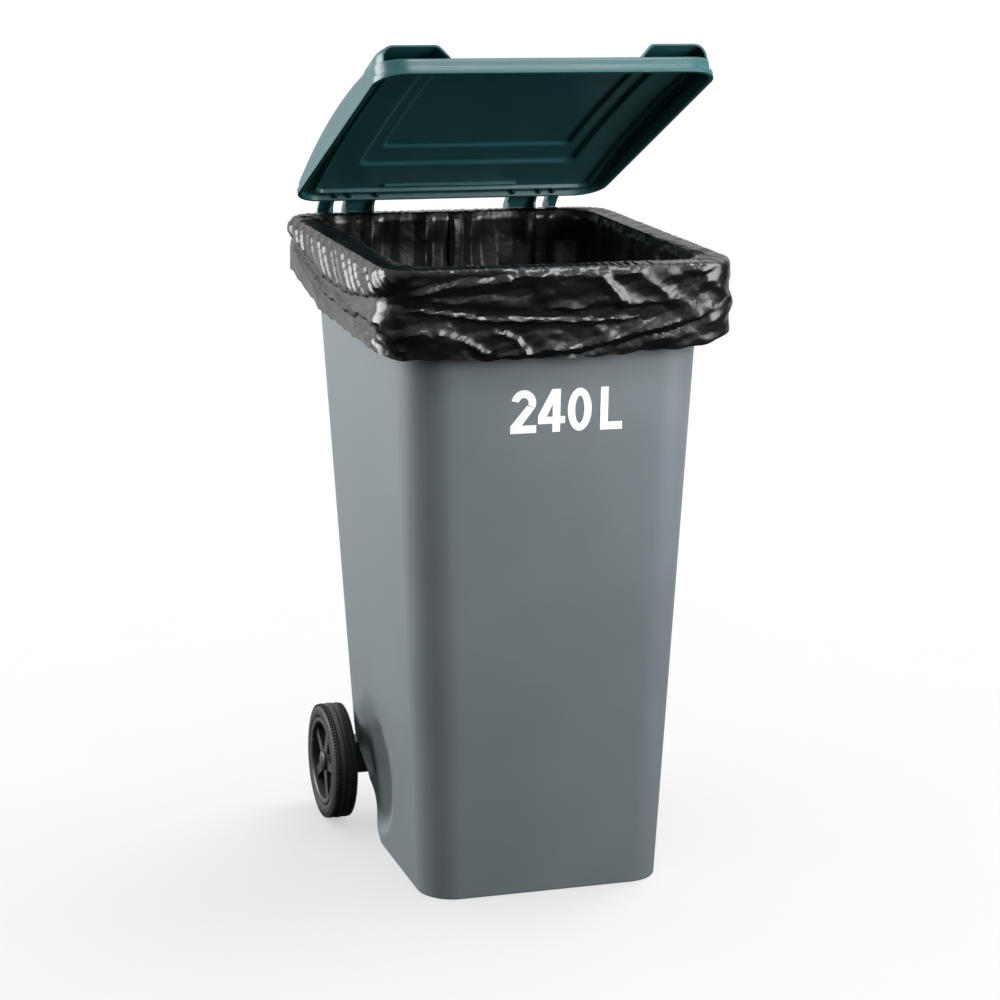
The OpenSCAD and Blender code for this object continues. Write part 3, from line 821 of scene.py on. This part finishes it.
# Above the long groove in the left side the film hangs in leaning pleats; elsewhere lie flat facets.
groove_z = np.interp(s_grid, *np.array(groove).T)
on_left = smoothstep(-0.262, -0.290, s_grid) * smoothstep(-1.0, -0.92, s_grid)
fall = film_top - z_warped
band = np.clip((z_grid - groove_z) / 0.02, 0, 1) * on_left
lean = 0.45 + 0.9 * smoothstep(-0.80, -0.32, s_grid)
pleat_phase = s_warped - lean * fall
leaning = 0.0022 * folds(pleat_phase / 0.047) + 0.0009 * folds(pleat_phase / 0.0205 + 0.3)
bulge = 0.004 * np.sin(np.clip((film_top - z_grid) / (film_top - groove_z), 0, 1) * math.pi) * on_left
facets = np.zeros_like(s_grid)
draws = np.random.default_rng(11)
for size, depth in ((0.105, 0.0020), (0.058, 0.0013), (0.031, 0.0006), (0.019, 0.0003)):
    for k in range(3):
        angle = math.pi / 2 + draws.uniform(-0.75, 0.75)
        phase = draws.uniform(0, 1)
        facing_it = s_warped * math.cos(angle) + z_warped * math.sin(angle)
        facets += depth * 0.6 * folds(facing_it / size + phase)
relief_out += leaning * band + bulge + facets * (1 - 0.8 * on_left)

# Outside, the relief lifts the film off the skirt; inside, it is soft pleats that hang from the rim.
hang = np.clip((film_top - z_grid) / 0.05, 0, 1)
pleats = folds(s_warped / 0.150 + 0.55 * wander(s_grid, z_grid * 0.35, 8, 0.45))
pleats = pleats + 0.5 * folds(s_warped / 0.057 + 0.45 * wander(s_grid, z_grid * 0.5, 9, 0.3))
relief_in = 0.0045 * pleats + 0.35 * facets
lift = np.where(outside, 0.0025 + relief_out, 0.006 + relief_in * (0.4 + 0.6 * hang))
least_lift = 0.0004
tangent = np.roll(film[:, :, :2], -1, 1) - np.roll(film[:, :, :2], 1, 1)
tangent /= np.maximum(np.linalg.norm(tangent, axis=2, keepdims=True), 1e-9)
outward = np.dstack((tangent[:, :, 1], -tangent[:, :, 0]))
side = np.where(outside, 1.0, -1.0)
at_rear = smoothstep(0.36, 0.385, film[:, :, 1])
push = np.maximum(lift, least_lift) * np.where(outside, 1 - 0.96 * at_rear, 1.0)
blend_top = np.clip(np.abs(z_grid - film_top) / 0.012, 0, 1)
film[:, :, :2] += outward * (push * side * blend_top)[:, :, None]
on_top = (1 - blend_top) * (z_grid > film_top - 0.004)
wrinkle = folds(s_warped / 0.034 + 3 * wander(s_grid, film[:, :, 0], 21, 0.2)) + folds(s_warped / 0.013 + 0.4)
film[:, :, 2] += on_top * 0.0011 * (1 + 0.5 * wrinkle)

# The cuff's lower edge runs up and down, and at the back it is cut short above the hinge brackets.
edge_points = ((-1.30, 0.100), (-0.93, 0.084), (-0.826, 0.088), (-0.749, 0.104), (-0.654, 0.122),
               (-0.521, 0.126), (-0.375, 0.129), (-0.30, 0.131), (-0.262, 0.137), (-0.108, 0.140),
               (0.053, 0.141), (0.213, 0.132), (0.27, 0.120), (0.36, 0.115), (0.62, 0.112), (0.93, 0.090),
               (1.30, 0.100))
drop = np.interp(round_rim, *np.array(edge_points).T)
drop += 0.0018 * np.sin(round_rim * 61) * np.cos(round_rim * 23)
cut_half, cut_drop = 0.228, 0.0145
drop[(np.abs(lap[:, 0]) < cut_half) & (lap[:, 1] > 0.3)] = cut_drop
for k, share in enumerate(np.linspace(0, 1, cuff_rows), layer_count - cuff_rows):
    waves = 0.0010 * np.sin(round_rim * 140 + k)
    film[k, :, 2] = film_top - cuff_start - (drop - cuff_start) * share + waves

film_verts = recessed(film.reshape(-1, 3))
here = np.arange(point_count)
after = np.roll(here, -1)
film_faces = []
for k in range(layer_count - 1):
    low, high = k * point_count, (k + 1) * point_count
    film_faces.extend(np.column_stack((low + after, low + here, high + here, high + after)).tolist())
film_faces.append(here.tolist())

black_film, tree, principled = shader("black polythene film")
place = node(tree, "ShaderNodeTexCoord").outputs["Object"]
crinkle = node(tree, "ShaderNodeTexVoronoi", {"Vector": place, "Scale": 75.0, "Randomness": 1.0},
               feature="DISTANCE_TO_EDGE")
broad = noise(tree, place, 9.0, 2.0)
fine_bump = bumped(tree, noise(tree, place, 60.0, 4.0, 0.6, 1.2), 0.0009, 0.5)
dress(tree, principled, mixed(tree, broad, (0.002, 0.002, 0.0022), (0.005, 0.005, 0.0055)),
      ranged(tree, broad, 0.3, 0.7, 0.20, 0.31),
      bumped(tree, crinkle.outputs["Distance"], 0.0004, 0.5, Normal=fine_bump))
principled.inputs["Specular IOR Level"].default_value = 0.38

bag = piece("bag", film_verts, film_faces, black_film, 24)
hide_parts("liner")
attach(bag, "body")


# Tyres: solid rubber rings with three grooves round the tread and a row of small blocks along each
# shoulder, pressed on to the hub's rim.
axle_y, axle_z = 0.206, 0.100
wheel_in, wheel_out = 0.227, 0.270
tread_r, bore_r = 0.100, 0.0765
rubber, tree, principled = shader("black rubber")
place = node(tree, "ShaderNodeTexCoord").outputs["Object"]
patches = noise(tree, place, 30.0, 4.0)
dress(tree, principled, mixed(tree, patches, (0.009, 0.009, 0.009), (0.019, 0.018, 0.018)),
      ranged(tree, patches, 0.3, 0.7, 0.50, 0.68), bumped(tree, noise(tree, place, 900.0, 2.0), 0.0001, 0.8))
black_plastic = plastic("black polypropylene", (0.016, 0.0165, 0.018), 0.40, grain_size=0.0009,
                        grain_height=0.00003)

groove_places = (0.0105, 0.0215, 0.0325)
groove_half, groove_depth, groove_bevel = 0.0012, 0.0030, 0.0005
shoulder_w, shoulder_h, crown_half, crown_drop = 0.0095, 0.0110, 0.0125, 0.0015


def tyre_profile():
    """(x, radius) round the tyre's section, x from its inner face."""
    width = wheel_out - wheel_in
    side = [(0.003, bore_r), (0.0008, bore_r + 0.002), (0.0, bore_r + 0.006), (0.0, tread_r - 0.012)]
    side += [(shoulder_w * (1 - math.cos(a)), tread_r - 0.0125 + shoulder_h * math.sin(a))
             for a in np.linspace(0.25, 1.45, 7)]
    tread = []
    for g in groove_places:
        half, edge, top = groove_half, groove_half + groove_bevel, crown_r(g)
        tread += [(g - edge, top), (g - half, top - groove_bevel), (g - half * 0.8, top - groove_depth),
                  (g + half * 0.8, top - groove_depth), (g + half, top - groove_bevel), (g + edge, top)]
    return side + tread + [(width - x, r) for x, r in side[::-1]]


def crown_r(x):
    """Radius of the tread's crown across its width."""
    return tread_r - crown_drop * ((x - groove_places[1]) / crown_half) ** 2


def block_r(x):
    """Radius of the tops of the tread's small blocks, never below the ground."""
    return min(crown_r(x) + 0.0022, tread_r - 0.0003)


def mirrored(obj, name):
    """A copy of a piece on the other side of the object."""
    made = obj.copy()
    made.data = obj.data.copy()
    made.name = name
    made.data.transform(Matrix.Scale(-1, 4, Vector((1, 0, 0))))
    made.data.flip_normals()
    bpy.context.scene.collection.objects.link(made)
    return made


def repeat_round(name, part, material, count, first_turn=0.0):
    """A mesh of copies of a part round the axle line, made with Geometry Nodes."""
    tree, given, _ = group(
        name, (("Part", "Object"), ("Count", "Int"), ("Centre", "Vector"), ("First turn", "Float"),
               ("Material", "Material")), (("Geometry", "Geometry"),), "GeometryNodeTree")
    spots = node(tree, "GeometryNodePoints", {"Count": given.outputs["Count"],
                                              "Position": given.outputs["Centre"]})
    index = node(tree, "GeometryNodeInputIndex").outputs[0]
    whole = maths(tree, "DIVIDE", math.tau, given.outputs["Count"])
    turn = maths(tree, "MULTIPLY_ADD", index, whole, given.outputs["First turn"])
    facing = node(tree, "ShaderNodeCombineXYZ", {"X": turn})
    shape = node(tree, "GeometryNodeObjectInfo", {"Object": given.outputs["Part"]})
    copies = node(tree, "GeometryNodeInstanceOnPoints", {"Points": spots.outputs[0],
                                                         "Instance": shape.outputs["Geometry"],
                                                         "Rotation": facing.outputs[0]})
    host = grown(name, tree, copies, material, {"Part": part, "Count": count, "First turn": first_turn,
                                                "Centre": (0.0, axle_y, axle_z)})
    bpy.data.objects.remove(part)
    return host


tyre_left = turned("tyre_left_rubber", [(-wheel_in - x, r) for x, r in tyre_profile()], rubber, 144,
                   (axle_y, axle_z), 50)
block_places, block_l, block_root, block_count = (0.0022, 0.0335), 0.0073, 0.0920, 104
for start in block_places:
    verts = [(-wheel_in - x, dy, r) for x in (start, start + block_l)
             for dy, r in ((-0.0013, block_root), (0.0013, block_root), (0.0011, block_r(x)),
                           (-0.0011, block_r(x)))]
    block = piece("block", verts, box_faces, rubber)
    outwards(block)
    tyre_left = join(tyre_left, repeat_round("tread", block, rubber, block_count))
tyre_right = mirrored(tyre_left, "tyre_right_rubber")

# Hubs: black polypropylene mouldings, each a deep rim and a domed boss joined by five spokes. The
# tyre sits on the rim, and the bush is pressed into the boss.
spoke_count, first_spoke = 5, math.radians(18)
rim_profile = [(0.0015, 0.0765), (0.0415, 0.0765), (0.0425, 0.0760), (0.0430, 0.0745), (0.0420, 0.0690),
               (0.0400, 0.0668), (0.0380, 0.0662), (0.0040, 0.0662), (0.0018, 0.0668), (0.0, 0.0690),
               (0.0, 0.0750)]
boss_profile = [(0.0040, 0.0142), (0.0040, 0.0215), (0.0060, 0.0230), (0.0330, 0.0230), (0.0355, 0.0215),
                (0.0355, 0.0142)]
hub_left = turned("hub_left_moulding", [(-wheel_in - x, r) for x, r in rim_profile], black_plastic, 120,
                  (axle_y, axle_z), 30)
boss = turned("boss", [(-wheel_in - x, r) for x, r in boss_profile], black_plastic, 64, (axle_y, axle_z), 40)
spoke_outline = [(-0.0075, 0.0215), (0.0075, 0.0215), (0.0060, 0.045), (0.0065, 0.058), (0.0120, 0.0670),
                 (-0.0120, 0.0670), (-0.0065, 0.058), (-0.0060, 0.045)]
verts, faces = side_profile(spoke_outline, -wheel_in - 0.036, -wheel_in - 0.010)
spoke = bevelled(piece("spoke", verts, faces, black_plastic), 0.0018)
hub_left = join(hub_left, boss, repeat_round("spokes", spoke, black_plastic, spoke_count, first_spoke))
hub_right = mirrored(hub_left, "hub_right_moulding")

# Hub caps: shallow black domes that snap into the hubs and cover the axle's ends. They are moulded
# in the same plastic.
cap_profile = [(0.0355, 0.0005), (0.0355, 0.0165), (0.0390, 0.0170), (0.0405, 0.0160), (0.0418, 0.0130),
               (0.0427, 0.0080), (0.0430, 0.0005)]
cap_left = turned("hub_cap_left_moulding", [(-wheel_in - x, r) for x, r in cap_profile], black_plastic, 64,
                  (axle_y, axle_z), 50)
cap_right = mirrored(cap_left, "hub_cap_right_moulding")
for kind, finish, pair in (("tyre", "tyre_rubber", (tyre_left, tyre_right)),
                           ("hub", "wheel_plastic", (hub_left, hub_right)),
                           ("hub_cap", "wheel_plastic", (cap_left, cap_right))):
    for hand, made in zip(("left", "right"), pair):
        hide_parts(f"{kind}_{hand}")
        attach(made, f"wheel_{hand}")

# Bearing blocks, spacers, hinge pins, bushes, clips and axle: small parts. The blocks, spacers and
# pins are black plastic, the bushes nylon, and the clips and the axle zinc plated steel.
nylon = plastic("natural nylon", (0.55, 0.53, 0.48), 0.42, grain_size=0.0006, grain_height=0.00001)
zinc, tree, principled = shader("zinc plated steel")
place = node(tree, "ShaderNodeTexCoord").outputs["Object"]
spangle = node(tree, "ShaderNodeTexVoronoi", {"Vector": place, "Scale": 220.0})
tarnish = noise(tree, place, 60.0, 4.0)
dress(tree, principled, mixed(tree, tarnish, (0.62, 0.63, 0.64), (0.42, 0.43, 0.44)),
      ranged(tree, tarnish, 0.3, 0.7, 0.25, 0.45), bumped(tree, spangle.outputs["Distance"], 0.00004, 0.4))
principled.inputs["Metallic"].default_value = 1.0
finishes = {"axle_block": black_plastic, "axle_spacer": black_plastic, "hinge_pin": black_plastic,
            "hub_bush": nylon, "wheel_clip": zinc}
for kind, material in finishes.items():
    for hand in ("left", "right"):
        frame["nodes"][f"{kind}_{hand}"].data.materials[0] = material
frame["nodes"]["axle"].data.materials[0] = zinc


# Capacity figure: thin white film stuck to the front wall, with 240 L in plain upright strokes that
# overlap a little. Each stroke stands out a hair more than the one before it.
stroke, figure_low, figure_high = 0.0125, 0.767, 0.836
film_lift, lift_step = 0.00025, 0.00003


def figure_outlines():
    """Outlines (x, z) of the strokes of 240 L."""
    low, high = figure_low, figure_high
    middle = (low + high) / 2
    return [
        arc_stroke(-0.0585, high - 0.0210, 0.0205, 0.0210, 168, -22),
        [(-0.0400, middle + 0.0055), (-0.0530, middle + 0.0095), (-0.0800, low + 0.0120), (-0.0800, low),
         (-0.0370, low), (-0.0370, low + stroke), (-0.0610, low + stroke)],
        [(-0.0105, low), (0.0025, low), (0.0025, high), (-0.0105, high)],
        [(-0.0345, low + 0.0135), (0.0105, low + 0.0135), (0.0105, low + 0.0250), (-0.0345, low + 0.0250)],
        [(-0.0345, low + 0.0200), (-0.0345, low + 0.0270), (-0.0120, high), (0.0010, high),
         (-0.0210, low + 0.0230)],
        arc_stroke(0.0345, middle, 0.0200, (high - low) / 2, -1, 181),
        arc_stroke(0.0345, middle, 0.0200, (high - low) / 2, 179, 361),
        [(0.0690, low), (0.1060, low), (0.1060, low + stroke), (0.0820, low + stroke), (0.0820, high),
         (0.0690, high)]]


def arc_stroke(x, z, half, tall, start, end):
    """The outline of an elliptical stroke, as its outer line and its inner line back."""
    turns = np.radians(np.linspace(start, end, 25))
    outer = [(x + half * math.cos(a), z + tall * math.sin(a)) for a in turns]
    inner = [(x + (half - stroke) * math.cos(a), z + (tall - stroke) * math.sin(a)) for a in turns]
    return outer + inner[::-1]


white_film, tree, principled = shader("white film")
place = node(tree, "ShaderNodeTexCoord").outputs["Object"]
specks = noise(tree, place, 400.0, 3.0)
dress(tree, principled, mixed(tree, specks, (0.74, 0.75, 0.75), (0.82, 0.83, 0.83)),
      ranged(tree, specks, 0.0, 1.0, 0.35, 0.5), bumped(tree, specks, 0.00003, 0.5))
strokes = []
for line in figure_outlines():
    count = len(line)
    face_lift = film_lift + lift_step * len(strokes)
    verts = [(x, walls(z)[1] - out, z) for out in (0.0, face_lift) for x, z in line]
    faces = [list(range(count)), list(range(count, 2 * count))]
    faces += [(i, (i + 1) % count, count + (i + 1) % count, count + i) for i in range(count)]
    made = piece("stroke", verts, faces, white_film, 30)
    outwards(made)
    strokes.append(made)
mark = join(*strokes)
mark.name = "capacity_figure"
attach(mark, "body")


# Floor and light: a plain pale floor under soft studio light, brightest from the left. The side
# lights shine on the bin only, so the floor stays even.
floor_half = 60
floor_mesh = bpy.data.meshes.new("floor")
floor_mesh.from_pydata([(-floor_half, -floor_half, 0), (floor_half, -floor_half, 0),
                        (floor_half, floor_half, 0), (-floor_half, floor_half, 0)], [], [(0, 1, 2, 3)])
floor = bpy.data.objects.new("floor", floor_mesh)
bpy.context.scene.collection.objects.link(floor)
pale_floor, tree, principled = shader("pale floor")
place = node(tree, "ShaderNodeTexCoord").outputs["Object"]
off_white = mixed(tree, noise(tree, place, 3.0, 3.0), (0.44, 0.44, 0.44), (0.46, 0.46, 0.46))
tree.links.new(off_white, principled.inputs["Base Color"])
principled.inputs["Emission Color"].default_value = (1.0, 1.0, 1.0, 1)
principled.inputs["Emission Strength"].default_value = 0.52
principled.inputs["Roughness"].default_value = 0.9
principled.inputs["Specular IOR Level"].default_value = 0.1
floor_mesh.materials.append(pale_floor)
floor.visible_diffuse = False
floor.visible_glossy = False

# The room is bright overhead and dark below, as over a floor that throws little light back.
world = bpy.data.worlds.new("studio")
world.use_nodes = True
tree = world.node_tree
heading = node(tree, "ShaderNodeTexCoord").outputs["Generated"]
height = node(tree, "ShaderNodeSeparateXYZ", {"Vector": heading})
glow = ranged(tree, height.outputs["Z"], -0.02, 0.40, 0.03, 0.83)
behind = ranged(tree, height.outputs["Y"], 0.25, 0.75, 0.0, 0.90)
not_below = ranged(tree, height.outputs["Z"], -0.42, -0.22)
brighter = maths(tree, "MAXIMUM", glow, maths(tree, "MULTIPLY", behind, not_below))
tree.links.new(brighter, tree.nodes["Background"].inputs["Strength"])
tree.nodes["Background"].inputs["Color"].default_value = (1.0, 1.0, 1.0, 1)
bpy.context.scene.world = world
bpy.context.scene.view_settings.view_transform = "Standard"
lit = bpy.data.collections.new("lit by the side lights")
for shown in bpy.context.scene.objects:
    if shown.type == "MESH" and shown != floor:
        lit.objects.link(shown)
for name, spot, aim, size, power in (
        ("left", (-2.6, 1.2, 1.6), (0.0, 0.1, 0.8), 2.0, 155),
        ("right", (1.25, -1.25, 1.35), (0.15, 0.0, 0.5), 1.0, 45),
        ("front", (1.1, -2.0, 4.4), (0.1, -0.1, 1.3), 1.0, 80)):
    light = bpy.data.objects.new(name, bpy.data.lights.new(name, "AREA"))
    light.data.size = size
    light.data.energy = power
    light.location = spot
    light.rotation_mode = "QUATERNION"
    light.rotation_quaternion = (Vector(aim) - Vector(spot)).to_track_quat("-Z", "Y")
    light.light_linking.receiver_collection = lit
    bpy.context.scene.collection.objects.link(light)
sun = bpy.data.objects.new("over", bpy.data.lights.new("over", "SUN"))
sun.data.angle = math.radians(45)
sun.data.energy = 1.05
sun.rotation_mode = "QUATERNION"
sun.rotation_quaternion = Vector((-0.75, -0.35, -1.0)).to_track_quat("-Z", "Y")
bpy.context.scene.collection.objects.link(sun)
